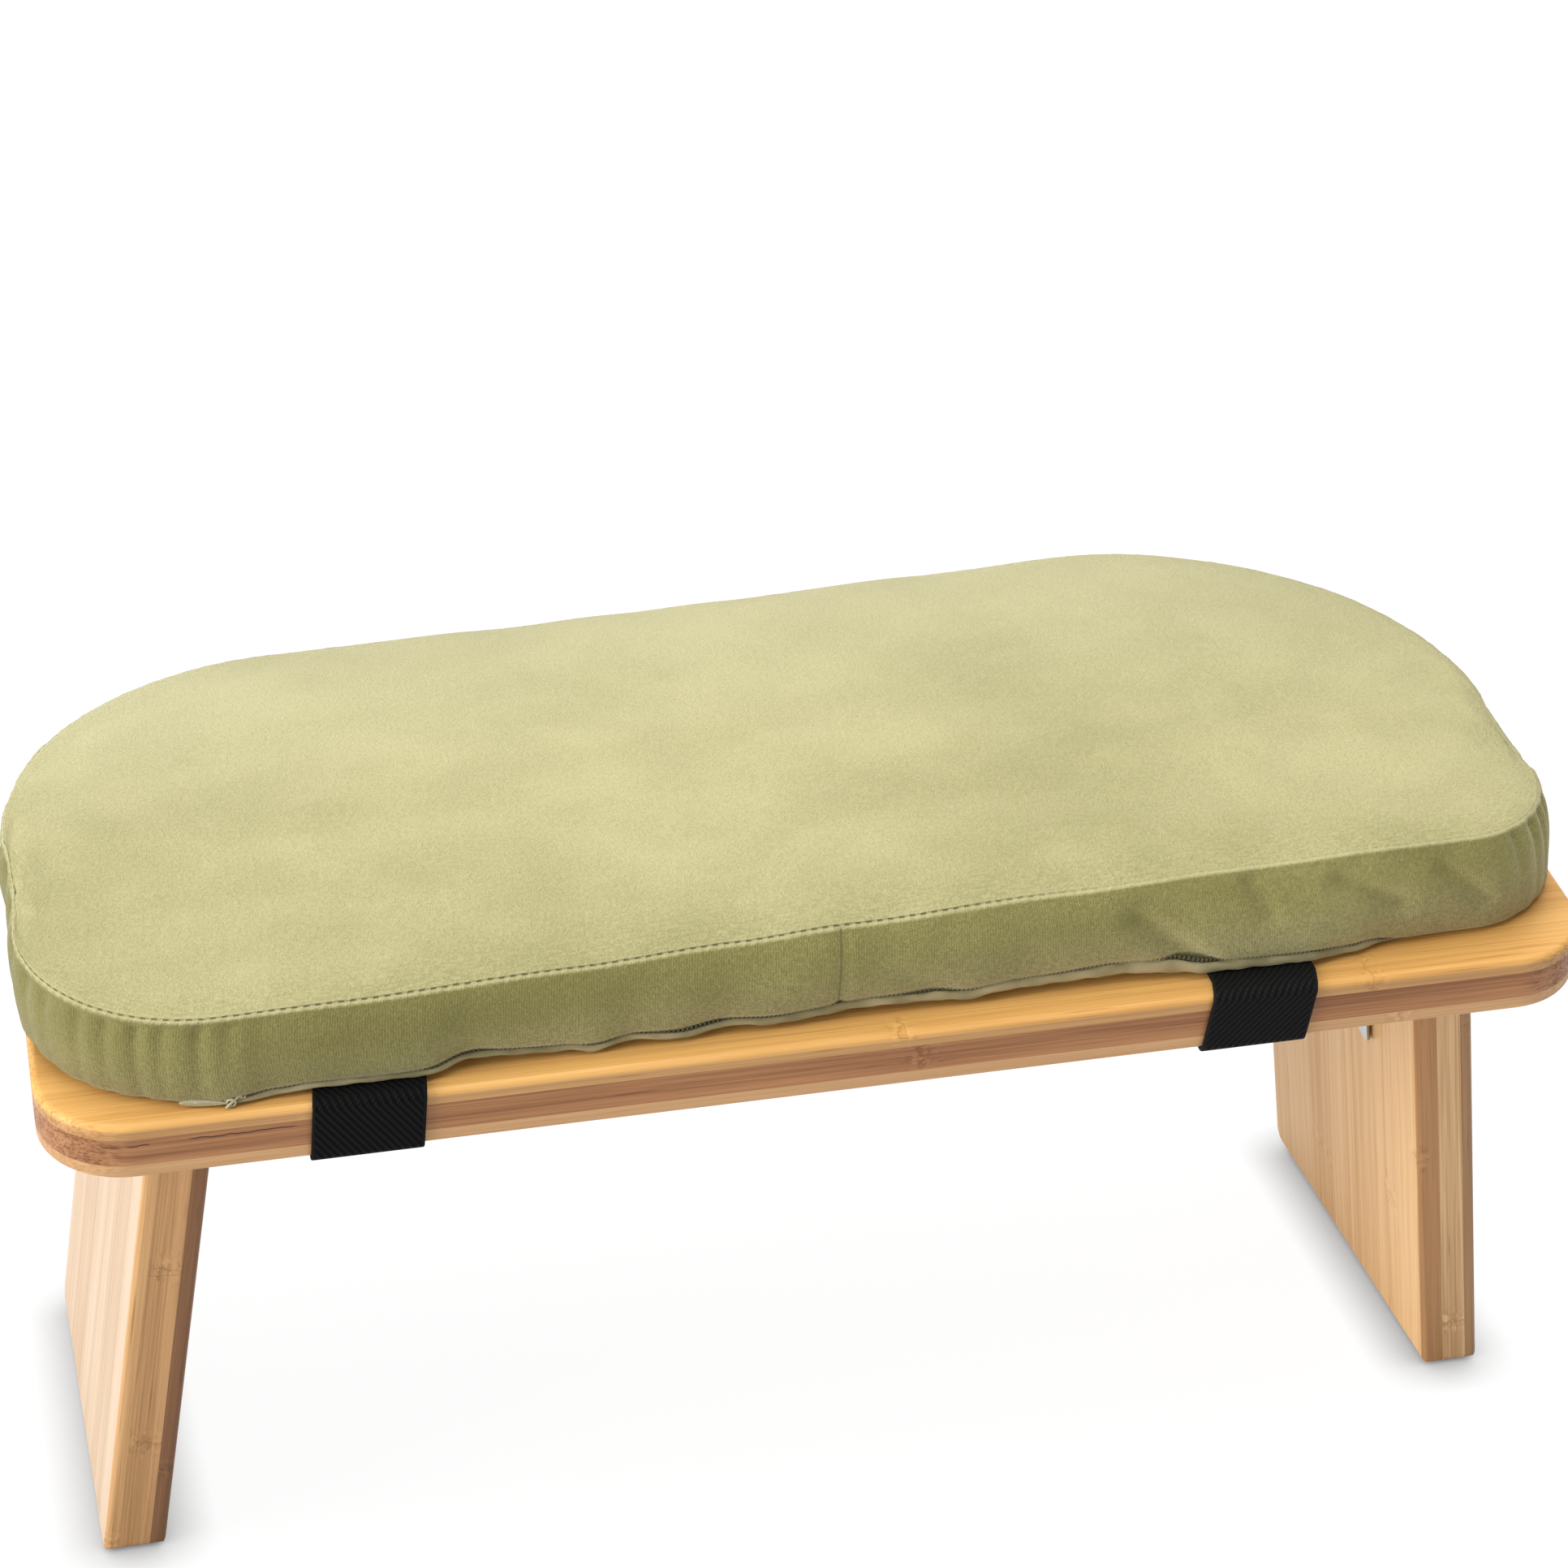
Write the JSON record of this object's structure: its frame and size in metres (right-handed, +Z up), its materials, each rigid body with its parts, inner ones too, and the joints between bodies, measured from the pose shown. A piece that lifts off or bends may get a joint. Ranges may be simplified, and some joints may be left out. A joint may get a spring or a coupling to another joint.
{
  "type": "folding meditation bench",
  "caption": "Low tilted kneeling seat of layered bamboo on splayed plate legs that fold inward on steel brackets, with a zipped velvet box cushion held by elastic straps.",
  "frame": {"origin": "on the floor, under the centre of the bench's bounding box, legs unfolded", "axes": "+X along the seat to the sitter's right as seen from the low front edge, +Y from the low front edge to the high back edge, +Z up"},
  "size_m": [0.46, 0.202, 0.2421],
  "materials": {
    "bamboo_face": "horizontal bamboo lamella, clear satin lacquer",
    "bamboo_core": "darker crosswise bamboo core, clear satin lacquer",
    "bamboo_leg": "upright bamboo lamella, clear satin lacquer",
    "plate_steel": "pressed steel sheet, zinc plated",
    "screw_steel": "zinc plated steel",
    "velvet": "short olive velvet pile",
    "foam": "firm upholstery foam",
    "elastic": "black twill-woven elastic webbing",
    "zip_cloth": "olive zip tape with nylon coil teeth",
    "zip_metal": "olive enamelled zip slider"
  },
  "bodies": {
    "seat": {"seat_bottom_ply": "bamboo_face", "seat_core_ply": "bamboo_core", "seat_top_ply": "bamboo_face", "right_seat_bracket": "plate_steel", "right_pivot_pin": "screw_steel", "right_seat_screw_1": "screw_steel", "right_seat_screw_2": "screw_steel", "right_seat_screw_3": "screw_steel", "right_seat_screw_4": "screw_steel", "left_seat_bracket": "plate_steel", "left_pivot_pin": "screw_steel", "left_seat_screw_1": "screw_steel", "left_seat_screw_2": "screw_steel", "left_seat_screw_3": "screw_steel", "left_seat_screw_4": "screw_steel", "cushion_top_panel": "velvet", "cushion_base_panel": "velvet", "cushion_side_band": "velvet", "cushion_foam": "foam", "zip_tape": "zip_cloth", "left_strap": "elastic", "right_strap": "elastic"},
    "right_leg": {"right_leg_inner_ply": "bamboo_leg", "right_leg_core_ply": "bamboo_core", "right_leg_outer_ply": "bamboo_leg", "right_leg_bracket": "plate_steel", "right_leg_screw_1": "screw_steel", "right_leg_screw_2": "screw_steel", "right_leg_screw_3": "screw_steel", "right_leg_screw_4": "screw_steel"},
    "left_leg": {"left_leg_inner_ply": "bamboo_leg", "left_leg_core_ply": "bamboo_core", "left_leg_outer_ply": "bamboo_leg", "left_leg_bracket": "plate_steel", "left_leg_screw_1": "screw_steel", "left_leg_screw_2": "screw_steel", "left_leg_screw_3": "screw_steel", "left_leg_screw_4": "screw_steel"},
    "zip_slider": {"zip_slider": "zip_metal"},
    "zip_pull": {"zip_pull": "zip_metal"}
  },
  "joints": [
    {"name": "right_leg_fold", "type": "hinge", "parent": "seat", "child": "right_leg", "pos_m": [0.17606, 0.00202, 0.15621], "axis": [0, 0.9863, 0.165], "range_deg": [0, 98.5]},
    {"name": "left_leg_fold", "type": "hinge", "parent": "seat", "child": "left_leg", "pos_m": [-0.17606, 0.00202, 0.15621], "axis": [0, -0.9863, -0.165], "range_deg": [0, 98.5]},
    {"name": "zip_slider_slide", "type": "slide", "parent": "seat", "child": "zip_slider", "axis": [1, 0, 0], "range_m": [0, 0.345]},
    {"name": "zip_pull_swing", "type": "hinge", "parent": "zip_slider", "child": "zip_pull", "pos_m": [-0.176, -0.09482, 0.18208], "axis": [0, -0.165, 0.9863], "range_deg": [0, 160]}
  ]
}
